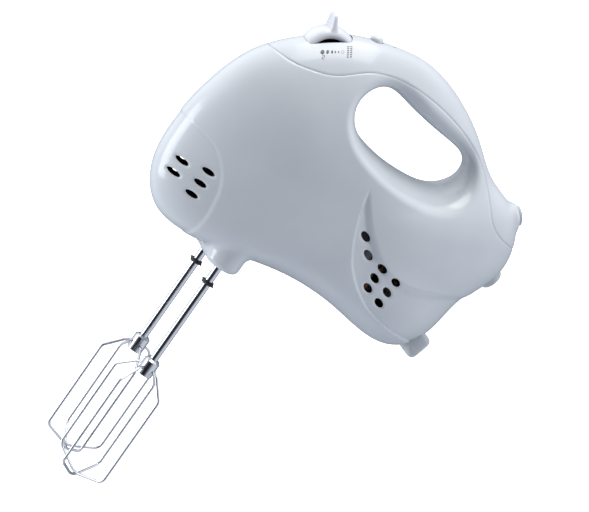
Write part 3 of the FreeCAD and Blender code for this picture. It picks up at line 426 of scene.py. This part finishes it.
def side_fields():
    """Maps over the side view: the half width squared, and how deep each styling recess is."""
    x, z = field_grid()
    outline = smooth_line(OUTLINE, True, 14) - POLE
    turn = np.arctan2(outline[:, 1], outline[:, 0])
    order = np.argsort(turn)
    turn, reach = turn[order], np.hypot(outline[:, 0], outline[:, 1])[order]
    angles = np.arctan2(z - POLE[1], x - POLE[0])
    edge = np.interp(angles, turn, reach, period=2 * np.pi)
    share = np.hypot(x - POLE[0], z - POLE[1]) / edge
    power = by_direction(SIDE_POWER, angles)
    width = HALF_WIDTH + (by_direction(SIDE_WIDTH, angles) - HALF_WIDTH) * smooth_step(0.15, 0.9, share)
    square = width ** 2 * (1.0 - share ** power)
    from_hole, in_hole = distance_to_line(smooth_line(GRIP_HOLE, True, 16), x, z, True)
    from_hole = np.where(in_hole, -from_hole, from_hole)
    flare = np.clip(from_hole / HOLE_ROUNDING, -3.0, 1.0)
    square = np.where(square > 0.0, square * (1.0 - np.abs(1.0 - flare) ** HOLE_POWER), square)
    styling = styling_depth(x, z)
    return square, styling, styling + fine_grooves(x, z)


def styling_depth(x, z):
    """Depth of the nose panel and of the scoop behind the rear vents."""
    nose = np.array(list(smooth_line(NOSE_PANEL, False)) + [(90.0, 5.0), (90.0, 74.0)])
    away, inside = distance_to_line(nose, x, z, True)
    depth = 0.7 * smooth_step(-1.0, 1.6, np.where(inside, away, -away))
    lip = smooth_line(SCOOP_LIP, False)
    back = smooth_line(SCOOP_BACK, False)
    from_lip = distance_to_line(lip, x, z, False)[0]
    from_back = distance_to_line(back, x, z, False)[0]
    around = np.concatenate([lip, back[:0:-1]])
    inside = distance_to_line(around, x, z, True)[1]
    slope = from_lip / (from_lip + from_back + 1e-6)
    fade = smooth_step(-132.0, -80.0, x)
    scoop = (1.1 + 2.1 * slope * fade) * smooth_step(0.0, 1.2, from_lip)
    scoop = scoop * (1.0 - fade + fade * smooth_step(0.0, 5.0, from_back))
    lower = smooth_step(0.0, 6.0, from_back)
    scoop = scoop * (fade + (1.0 - fade) * lower)
    return depth + np.where(inside, scoop, 0.0)


def oval_distance(x, z, centre, long_half, short_half, lean):
    """Roughly how far each point lies outside an oval."""
    along = (x - centre[0]) * math.cos(lean) + (z - centre[1]) * math.sin(lean)
    over = (z - centre[1]) * math.cos(lean) - (x - centre[0]) * math.sin(lean)
    reach = np.sqrt((along / long_half) ** 2 + (over / short_half) ** 2)
    slope = np.sqrt((along / long_half ** 2) ** 2 + (over / short_half ** 2) ** 2)
    return reach * (reach - 1.0) / np.maximum(slope, 1e-6)


def fine_grooves(x, z):
    """The rolled edges along the cover's seam and around the vents."""
    from_seam = distance_to_line(smooth_line(SEAM, False), x, z, False)[0]
    groove = 0.24 * np.exp(-(from_seam / 0.55) ** 2)
    for centre, long_half, short_half, lean in VENTS:
        beyond = np.maximum(oval_distance(x, z, centre, long_half, short_half, lean), 0.0)
        groove += 0.45 * np.exp(-(beyond / 0.7) ** 2)
    return groove


SQUARE, STYLING, RELIEF = side_fields()
SLOPE_X, SLOPE_Z = np.gradient(SQUARE, FIELD_STEP)


def read_map(field, x, z):
    """Bilinear look-up in one of the side-view maps."""
    across = np.clip((x - FIELD_LOW[0]) / FIELD_STEP, 0, field.shape[0] - 1.001)
    up = np.clip((z - FIELD_LOW[1]) / FIELD_STEP, 0, field.shape[1] - 1.001)
    i, j = across.astype(int), up.astype(int)
    u, v = across - i, up - j
    return ((1 - u) * (1 - v) * field[i, j] + u * (1 - v) * field[i + 1, j]
            + (1 - u) * v * field[i, j + 1] + u * v * field[i + 1, j + 1])


def rounded_solid(beyond_side, beyond_end, rounding):
    """Distance to a solid from the distances past its side and its ends, with rounded rims."""
    side, end = beyond_side + rounding, beyond_end + rounding
    outside = np.hypot(np.maximum(side, 0.0), np.maximum(end, 0.0))
    return outside + np.minimum(np.maximum(side, end), 0.0) - rounding


def blend_union(first, second, softness):
    """Distance to two solids together, with a soft fillet where they meet."""
    share = np.clip(0.5 + 0.5 * (second - first) / softness, 0.0, 1.0)
    return second * (1.0 - share) + first * share - softness * share * (1.0 - share)


GLAND = np.array([-146.0, 0.0, 128.4])
GLAND_OUT = np.array([-0.8, 0.0, 0.6])
BOSS_BOTTOM, BOSS_TOP = 12.0, 40.0
BOSS_RADIUS = 11.0
STUB_RADIUS = 8.5
STUB_HALF = 8.0
FILLET = 4.0


def casing_distance(x, y, z, relief):
    """Signed distance, close to the surface, to the outside of the casing with a map of recesses."""
    slope_x, slope_z = read_map(SLOPE_X, x, z), read_map(SLOPE_Z, x, z)
    steep = np.sqrt(slope_x ** 2 + slope_z ** 2 + 4.0 * y ** 2)
    body = (y ** 2 - read_map(SQUARE, x, z)) / np.maximum(steep, 1.0) + read_map(relief, x, z)
    beyond = np.hypot(x, np.maximum(np.abs(y) - STEM_SIDE, 0.0)) - BOSS_RADIUS
    middle, half = 0.5 * (BOSS_BOTTOM + BOSS_TOP), 0.5 * (BOSS_TOP - BOSS_BOTTOM)
    boss = rounded_solid(beyond, np.abs(z - middle) - half, 4.0)
    body = blend_union(body, boss, FILLET)
    along = (x - GLAND[0]) * GLAND_OUT[0] + (z - GLAND[2]) * GLAND_OUT[2]
    off_x, off_z = x - GLAND[0] - along * GLAND_OUT[0], z - GLAND[2] - along * GLAND_OUT[2]
    around = np.sqrt(off_x ** 2 + off_z ** 2 + y ** 2) - STUB_RADIUS
    stub = rounded_solid(around, np.abs(along + STUB_HALF) - STUB_HALF, 3.5)
    return blend_union(body, stub, FILLET)


def surface_points(inset, cell, relief):
    """Quads around a closed surface at a depth below the outside, with corners exactly on it."""
    low = np.array([-162.0, -41.0, 6.0])
    count = np.ceil((np.array([70.0, 41.0, 178.0]) - low) / cell).astype(int)
    lines = [low[axis] + cell * np.arange(count[axis] + 1) for axis in range(3)]
    x, z = np.meshgrid(lines[0], lines[2], indexing="ij")
    inside = np.empty(tuple(count + 1), bool)
    for j, y in enumerate(lines[1]):
        inside[:, j, :] = casing_distance(x, np.full_like(x, y), z, relief) + inset < 0.0
    filled = np.zeros(tuple(count), np.int8)
    for i in (0, 1):
        for j in (0, 1):
            for k in (0, 1):
                filled += inside[i:count[0] + i, j:count[1] + j, k:count[2] + k]
    cells = np.argwhere((filled > 0) & (filled < 8))
    number_of = np.full(tuple(count), -1, np.int64)
    number_of[tuple(cells.T)] = np.arange(len(cells))
    faces = []
    for axis in range(3):
        one, two = (axis + 1) % 3, (axis + 2) % 3
        here, there = [slice(1, -1)] * 3, [slice(1, -1)] * 3
        here[axis], there[axis] = slice(0, -1), slice(1, None)
        start, end = inside[tuple(here)], inside[tuple(there)]
        for starts_inside in (True, False):
            crossing = np.argwhere((start == starts_inside) & (end != starts_inside))
            crossing[:, one] += 1
            crossing[:, two] += 1
            ring = []
            for step_one, step_two in ((0, 0), (-1, 0), (-1, -1), (0, -1)):
                spot = crossing.copy()
                spot[:, one] += step_one
                spot[:, two] += step_two
                ring.append(number_of[tuple(spot.T)])
            faces.append(np.stack(ring if starts_inside else ring[::-1], 1))
    points = settle(low + cell * (cells + 0.5), inset, 1.8 * cell, relief)
    return points, np.concatenate(faces)


def settle(points, inset, furthest, relief):
    """Move points along the slope of the distance until they lie on the surface."""
    nudge = 0.02
    start = points.copy()
    for _ in range(6):
        x, y, z = points.T
        value = casing_distance(x, y, z, relief) + inset
        slope = np.stack([
            casing_distance(x + nudge, y, z, relief) - casing_distance(x - nudge, y, z, relief),
            casing_distance(x, y + nudge, z, relief) - casing_distance(x, y - nudge, z, relief),
            casing_distance(x, y, z + nudge, relief) - casing_distance(x, y, z - nudge, relief)], 1)
        slope /= 2.0 * nudge
        size = np.maximum((slope ** 2).sum(1), 0.05)
        points = points - slope * (value / size)[:, None]
    moved = points - start
    length = np.linalg.norm(moved, axis=1)
    return start + moved * np.minimum(1.0, furthest / np.maximum(length, 1e-9))[:, None]


def new_mesh(name, points, faces):
    """A smooth-shaded mesh from points in the position of use."""
    mesh = bpy.data.meshes.new(name)
    mesh.from_pydata(to_row(points).tolist(), [], [list(face) for face in faces])
    mesh.polygons.foreach_set("use_smooth", np.ones(len(mesh.polygons), bool))
    mesh.update()
    return mesh


def add_object(name, mesh):
    """An object in the scene that holds a mesh."""
    item = bpy.data.objects.new(name, mesh)
    bpy.context.scene.collection.objects.link(item)
    return item


def sculpted_surface(name, inset, cell, relief, refinements):
    """The casing's surface, with its quads halved once for each (map, distance) it lies within."""
    points, faces = surface_points(inset, cell, relief)
    work = bmesh.new()
    corners = [work.verts.new(point) for point in points]
    for face in faces:
        work.faces.new([corners[index] for index in face])
    for away_map, distance in refinements:
        places = np.array([vertex.co for vertex in work.verts])
        near = read_map(away_map, places[:, 0], places[:, 2]) < distance
        work.verts.ensure_lookup_table()
        edges = [edge for edge in work.edges
                 if near[edge.verts[0].index] and near[edge.verts[1].index]]
        bmesh.ops.subdivide_edges(work, edges=edges, cuts=1, use_grid_fill=True)
        work.verts.index_update()
        places = settle(np.array([vertex.co for vertex in work.verts]), inset, 1.0, relief)
        for vertex, place in zip(work.verts, places):
            vertex.co = place
    work.verts.index_update()
    places = [tuple(vertex.co) for vertex in work.verts]
    rings = [[vertex.index for vertex in face.verts] for face in work.faces]
    work.free()
    return add_object(name, new_mesh(name, places, rings))


def closed_loft(rings):
    """Points and faces of a closed form through rings with the same number of points."""
    count = len(rings[0])
    points = np.concatenate([np.asarray(ring, float) for ring in rings])
    faces = []
    for level in range(len(rings) - 1):
        for index in range(count):
            ahead = (index + 1) % count
            low, high = level * count, (level + 1) * count
            faces.append([low + index, low + ahead, high + ahead, high + index])
    faces.append(list(range(count))[::-1])
    faces.append([(len(rings) - 1) * count + index for index in range(count)])
    return points, faces


def joined(name, forms):
    """One object from several separate closed forms, facing outwards."""
    points, faces, offset = [], [], 0
    for form_points, form_faces in forms:
        points.append(form_points)
        faces += [[offset + index for index in face] for face in form_faces]
        offset += len(form_points)
    mesh = new_mesh(name, np.concatenate(points), faces)
    work = bmesh.new()
    work.from_mesh(mesh)
    bmesh.ops.recalc_face_normals(work, faces=work.faces)
    work.to_mesh(mesh)
    work.free()
    return add_object(name, mesh)


def combine(item, tool, operation):
    """Cut or keep part of an object with a closed tool."""
    modifier = item.modifiers.new("cut", "BOOLEAN")
    modifier.solver = "MANIFOLD"
    modifier.operation = operation
    modifier.object = tool
    graph = bpy.context.evaluated_depsgraph_get()
    made = bpy.data.meshes.new_from_object(item.evaluated_get(graph))
    item.modifiers.clear()
    spare = item.data
    item.data = made
    bpy.data.meshes.remove(spare)


def copy_of(item, name):
    """A second object with its own copy of the mesh."""
    return add_object(name, item.data.copy())


def discard(*items):
    """Remove tool objects together with their meshes."""
    for item in items:
        mesh = item.data
        bpy.data.objects.remove(item)
        bpy.data.meshes.remove(mesh)


def side_prism(outline, low_y, high_y):
    """A closed form from an outline in the side view, from one y to another."""
    outline = np.asarray(outline, float)
    return closed_loft([np.stack([outline[:, 0], np.full(len(outline), y), outline[:, 1]], 1)
                        for y in (low_y, high_y)])


def round_bar(start, direction, radius, length, sides=48):
    """A closed round bar from a start point along a unit direction."""
    start, direction = np.asarray(start, float), np.asarray(direction, float)
    across = np.cross(direction, [0.0, 1.0, 0.0] if abs(direction[1]) < 0.5 else [0.0, 0.0, 1.0])
    across /= np.linalg.norm(across)
    over = np.cross(direction, across)
    turns = np.linspace(0.0, 2.0 * np.pi, sides, endpoint=False)[:, None]
    ring = start + radius * (np.cos(turns) * across + np.sin(turns) * over)
    return closed_loft([ring, ring + direction * length])


def oval_outline(centre, long_half, short_half, lean, sides=40):
    """An oval in the side view, leaning by an angle."""
    turns = np.linspace(0.0, 2.0 * np.pi, sides, endpoint=False)
    along, over = long_half * np.cos(turns), short_half * np.sin(turns)
    return np.stack([centre[0] + along * math.cos(lean) - over * math.sin(lean),
                     centre[1] + along * math.sin(lean) + over * math.cos(lean)], 1)


def region_above(shift):
    """The room above the cover's seam, with its lower edge moved up by a small gap."""
    line = smooth_line(SEAM, False)
    run = np.gradient(line, axis=0)
    normal = np.stack([run[:, 1], -run[:, 0]], 1) / np.linalg.norm(run, axis=1)[:, None]
    return side_prism(np.concatenate([line + normal * shift, [(-175.0, 195.0), (70.0, 195.0)]]),
                      -60.0, 60.0)


DRUM = np.array([13.7, 0.0, 145.2])
DRUM_TOP, DRUM_SIDE = 17.2, 12.8
DRUM_HALF, WINDOW_HALF = 8.45, 8.7
TURBO = np.array([-6.5, 0.0, 167.3])
TURBO_OUT = np.array([math.sin(math.radians(18.8)), 0.0, math.cos(math.radians(18.8))])


def crown_reach(share):
    """The radius of the lever's crowned drum at a share of its half width."""
    return DRUM_SIDE + (DRUM_TOP - DRUM_SIDE) * (1.0 - min(abs(share), 1.0) ** 2.4) ** 0.55


def drum_window():
    """The slot in the cover for the crowned drum of the speed lever."""
    rings = []
    turns = np.linspace(0.0, 2.0 * np.pi, 96, endpoint=False)
    for y in WINDOW_HALF * np.sin(np.linspace(-0.5 * np.pi, 0.5 * np.pi, 21)):
        reach = crown_reach(y / WINDOW_HALF) + 0.5
        rings.append(np.stack([DRUM[0] + reach * np.cos(turns), np.full(96, y),
                               DRUM[2] + reach * np.sin(turns)], 1))
    return closed_loft(rings)


def away_maps():
    """Distance maps for the finer mesh along the styling lines, the seam and the vents."""
    x, z = field_grid()
    seam = distance_to_line(smooth_line(SEAM, False), x, z, False)[0]
    for centre, long_half, short_half, lean in VENTS:
        seam = np.minimum(seam, np.abs(oval_distance(x, z, centre, long_half, short_half, lean)))
    styling = np.minimum(seam, distance_to_line(smooth_line(NOSE_PANEL, False), x, z, False)[0])
    styling = np.minimum(styling, distance_to_line(smooth_line(SCOOP_LIP, False), x, z, False)[0])
    return seam, styling


def painted_shade_faces(mesh):
    """Which faces get painted shade: those well below the outer surface, and the walls just inside the vents,
    where the hollow white shell lies in shade.
    """
    centres = np.empty(len(mesh.polygons) * 3, np.float32)
    mesh.polygons.foreach_get("center", centres)
    moved = centres.reshape(-1, 3).astype(float) * 1000.0 - np.array([-ROW_SHIFT, 0.0, HEEL_LEVEL])
    x, y, z = (moved @ TO_ROW).T
    depth = casing_distance(x, y, z, RELIEF)
    from_vent = np.min([np.abs(oval_distance(x, z, *vent)) for vent in VENTS], axis=0)
    return (depth < -0.8) | ((depth < -0.15) & (from_vent < 0.15))


def through_holes():
    """The vents, the two stem holes and the cord's bore, as one cutting tool."""
    holes = [side_prism(oval_outline(*vent), -60.0, 60.0) for vent in VENTS]
    for side in (-1, 1):
        holes.append(round_bar((0.0, side * STEM_SIDE, 4.0), (0.0, 0.0, 1.0), 5.6, 24.0))
    holes.append(round_bar(GLAND - GLAND_OUT * 20.0, GLAND_OUT, 4.9, 30.0))
    return joined("through", holes)


def finish_shell(shell, node):
    """Painted shade (a near-black finish) on the hollow's faces and vent walls, white outside, and the CAD part
    that the shell stands in for.
    """
    mesh = shell.data
    mesh.name = shell.name
    mesh.materials.clear()
    mesh.materials.append(materials["casing_white"])
    mesh.materials.append(materials["casing_painted_shade"])
    # Painted shade: the near-black finish goes on the faces in the hollow and on the vent walls.
    mesh.polygons.foreach_set("material_index", painted_shade_faces(mesh).astype(np.int32))
    mesh.polygons.foreach_set("use_smooth", np.ones(len(mesh.polygons), bool))
    mesh.set_sharp_from_angle(angle=math.radians(42.0))
    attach(shell, "casing")
    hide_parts(node)


def make_casing():
    """The two housing halves and the top cover, as hollow moulded shells."""
    seam, styling = away_maps()
    outer = sculpted_surface("outer", 0.0, 1.4, RELIEF, [(styling, 2.6), (seam, 2.0)])
    inner = sculpted_surface("inner", WALL, 2.2, STYLING, [])
    combine(outer, inner, "DIFFERENCE")
    through = through_holes()
    combine(outer, through, "DIFFERENCE")
    cover = outer
    lower = copy_of(outer, "lower")
    above = joined("above", [region_above(-0.2)])
    from_above = joined("from_above", [region_above(0.2)])
    combine(cover, above, "INTERSECT")
    combine(lower, from_above, "DIFFERENCE")
    openings = joined("openings", [drum_window()])
    button_hole = joined("button_hole", [round_bar(TURBO - TURBO_OUT * 12.0, TURBO_OUT, 4.35, 24.0)])
    combine(cover, openings, "DIFFERENCE")
    combine(cover, button_hole, "DIFFERENCE")
    halves = []
    for name, side in (("housing_shell_left", 1.0), ("housing_shell_right", -1.0)):
        half = copy_of(lower, name)
        corners = [(-200.0, -20.0), (100.0, -20.0), (100.0, 200.0), (-200.0, 200.0)]
        room = joined("room", [side_prism(corners, side * 0.06, side * 80.0)])
        combine(half, room, "INTERSECT")
        discard(room)
        halves.append(half)
    wells = joined("wells", [round_bar((x, -60.0, z), (0.0, 1.0, 0.0), 3.6, 44.0) for x, z in SCREWS])
    combine(halves[1], wells, "DIFFERENCE")
    discard(inner, through, above, from_above, openings, button_hole, wells, lower)
    cover.name = "top_cover_shell"
    for shell, node in ((halves[0], "housing_left"), (halves[1], "housing_right"),
                        (cover, "top_cover")):
        finish_shell(shell, node)


# ------------------------------------------------------------------ lever, button and foot


def soften(item, angle, finish, slot, body, *nodes):
    """Smooth a piece, give it its finish and stand it in for its CAD parts."""
    mesh = item.data
    mesh.polygons.foreach_set("use_smooth", np.ones(len(mesh.polygons), bool))
    mesh.set_sharp_from_angle(angle=math.radians(angle))
    mesh.materials.clear()
    mesh.materials.append(materials[finish])
    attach(item, body)
    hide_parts(*nodes)


def shell_grid(outer, inner):
    """A closed shell between two grids of points of the same shape."""
    rows, columns = outer.shape[:2]
    points = np.concatenate([outer.reshape(-1, 3), inner.reshape(-1, 3)])
    second = rows * columns
    faces = []
    for row in range(rows - 1):
        for column in range(columns - 1):
            quad = [row * columns + column, row * columns + column + 1,
                    (row + 1) * columns + column + 1, (row + 1) * columns + column]
            faces.append(quad)
            faces.append([second + index for index in quad[::-1]])
    rim = list(range(columns))
    rim += [row * columns + columns - 1 for row in range(1, rows)]
    rim += [(rows - 1) * columns + column for column in range(columns - 2, -1, -1)]
    rim += [row * columns for row in range(rows - 2, 0, -1)]
    for start, end in zip(rim, rim[1:] + rim[:1]):
        faces.append([end, start, second + start, second + end])
    return points, faces


def rounded_ring(centre, along, over, half_along, half_over, power=4.0, sides=40):
    """A ring between an ellipse (power 2) and a rounded rectangle (higher powers)."""
    turns = np.linspace(0.0, 2.0 * np.pi, sides, endpoint=False)
    across, up = np.cos(turns), np.sin(turns)
    across = half_along * np.sign(across) * np.abs(across) ** (2.0 / power)
    up = half_over * np.sign(up) * np.abs(up) ** (2.0 / power)
    return centre + across[:, None] * along + up[:, None] * over


def make_lever():
    """The speed lever: a hollow crowned half drum about its pin, with a rounded thumb tab."""
    turns = np.radians(np.linspace(-112.0, 112.0, 81))
    shares = np.sin(np.linspace(-0.5 * np.pi, 0.5 * np.pi, 31))
    outer = np.empty((len(turns), len(shares), 3))
    inner = np.empty_like(outer)
    for column, share in enumerate(shares):
        for grid, reach, y in ((outer, crown_reach(share), DRUM_HALF * share),
                               (inner, crown_reach(share) - 1.8, (DRUM_HALF - 1.4) * share)):
            grid[:, column, 0] = DRUM[0] + reach * np.sin(turns)
            grid[:, column, 1] = y
            grid[:, column, 2] = DRUM[2] + reach * np.cos(turns)
    lever = joined("speed_lever_cap", [shell_grid(outer, inner)])
    lean = math.radians(25.0)
    out = np.array([math.sin(lean), 0.0, math.cos(lean)])
    along = np.array([math.cos(lean), 0.0, -math.sin(lean)])
    side = np.array([0.0, 1.0, 0.0])
    sections = [(14.0, 3.6, 7.9), (16.0, 2.7, 7.4), (17.5, 2.2, 7.0), (19.5, 1.9, 6.5),
                (21.5, 1.7, 6.0), (23.0, 1.5, 5.5), (23.9, 1.1, 4.8), (24.3, 0.5, 3.8)]
    tab = joined("tab", [closed_loft([rounded_ring(DRUM + out * reach, along, side, half_x, half_y)
                                      for reach, half_x, half_y in sections])])
    combine(lever, tab, "UNION")
    discard(tab)
    soften(lever, 48.0, "control_white", "control_white", "lever", "speed_lever")


def make_button():
    """The turbo button: a low dome with a retaining flange under the cover."""
    across = np.array([TURBO_OUT[2], 0.0, -TURBO_OUT[0]])
    side = np.array([0.0, 1.0, 0.0])
    profile = [(5.1, -4.6), (5.1, -3.4), (3.9, -3.3), (3.95, 0.4), (3.85, 1.3), (3.5, 2.2),
               (2.9, 2.75), (2.1, 3.1), (1.2, 3.3), (0.35, 3.38)]
    rings = [rounded_ring(TURBO + TURBO_OUT * height, across, side, radius, radius, 2.0, 48)
             for radius, height in profile]
    button = joined("turbo_button_cap", [closed_loft(rings)])
    soften(button, 50.0, "control_white", "control_white", "turbo", "turbo_button")


FOOT_AT = -67.5


def make_foot():
    """The heel foot: a soft block with rounded edges that tapers into the casing's corner."""
    along, up, side = TO_ROW[0], TO_ROW[2], np.array([0.0, 1.0, 0.0])
    rings = []
    for height, half_along, half_over, shift in (
            (0.0, 7.5, 13.4, 0.0), (0.35, 8.1, 14.0, 0.0), (1.0, 8.4, 14.4, 0.0),
            (3.0, 8.4, 14.4, -0.1), (6.0, 7.8, 14.0, -0.8), (9.0, 6.6, 13.2, -2.0),
            (11.5, 5.0, 12.0, -3.0)):
        centre = along * (FOOT_AT + shift) + up * (height - HEEL_LEVEL)
        rings.append(rounded_ring(centre, along, side, half_along, half_over, 5.0, 56))
    foot = joined("heel_foot_pad", [closed_loft(rings)])
    soften(foot, 50.0, "rubber_grey", "rubber_grey", "casing", "heel_foot")


# ------------------------------------------------------------------ printed scale


def print_marks(name, outlines, centre, along, over):
    """Thin printed shapes on the cover: outlines in millimetres about a point on the surface."""
    centre, along, over = (np.asarray(value, float) for value in (centre, along, over))
    forms = []
    for outline in outlines:
        flat = np.array([centre + u * along + v * over for u, v in outline])
        forms.append(closed_loft([settle(flat, 0.12, 3.0, RELIEF), settle(flat, -0.04, 3.0, RELIEF)]))
    mark = joined(name, forms)
    mark.data.materials.append(materials["printed_ink"])
    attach(mark, "casing")


def oval(half_u, half_v, middle=(0.0, 0.0), sides=20):
    """An oval outline for a printed mark."""
    turns = np.linspace(0.0, 2.0 * np.pi, sides, endpoint=False)
    return [(middle[0] + half_u * math.cos(turn), middle[1] + half_v * math.sin(turn))
            for turn in turns]


def stroke(start, end, half):
    """A short straight stroke with square ends."""
    run = np.subtract(end, start)
    over = half * np.array([-run[1], run[0]]) / np.linalg.norm(run)
    start, end = np.asarray(start, float), np.asarray(end, float)
    return [tuple(start - over), tuple(end - over), tuple(end + over), tuple(start + over)]


def make_scale():
    """The printed scale: shrinking spots, a ring for off, a top speed of 5 and an eject mark."""
    along = np.array([0.86, 0.05, -0.50])
    over = np.array([0.25, -0.62, 0.74])
    spots = [((21.4, 13.4, 146.1), 1.15, 1.50), ((19.0, 13.5, 147.7), 0.85, 1.30),
             ((16.8, 13.6, 149.1), 0.62, 1.10), ((15.3, 13.7, 150.1), 0.45, 0.90),
             ((13.7, 13.7, 151.1), 0.34, 0.70)]
    for number, (place, half_u, half_v) in enumerate(spots):
        print_marks(f"scale_spot_{number + 1}", [oval(half_u, half_v)], place, along, over)
    ring = [oval(0.17, 0.17, (0.8 * math.cos(turn), 0.9 * math.sin(turn)), 8)
            for turn in np.linspace(0.0, 2.0 * np.pi, 12, endpoint=False)]
    print_marks("scale_off_ring", ring, (11.6, 13.7, 152.4), along, over)
    corners = [(-0.7, 1.2), (0.7, 1.2), (0.7, 0.1), (-0.7, 0.1), (-0.7, -1.1), (0.6, -1.1)]
    digit = [stroke((-u, v), (-next_u, next_v), 0.17)
             for (u, v), (next_u, next_v) in zip(corners, corners[1:])]
    print_marks("scale_digit", digit, (20.0, 15.5, 144.0), along, over)
    dashes = []
    for step in range(6):
        level = 1.35 * (step - 2.5)
        dashes.append(stroke((-1.5, level), (-0.35, level + 0.15), 0.36))
        dashes.append(stroke((0.35, level - 0.15), (1.5, level), 0.36))
    print_marks("eject_mark", dashes, (8.2, 13.2, 154.6), along, over)
    print_marks("button_mark", [oval(0.8, 0.5)], (-17.0, 2.4, 170.4), (1.0, 0.0, 0.0),
                (0.0, 1.0, 0.0))


# ------------------------------------------------------------------ assembly

bpy.context.scene.view_settings.view_transform = "Standard"
make_surroundings()
finish_cad_parts()
make_casing()
make_lever()
make_button()
make_foot()
make_scale()
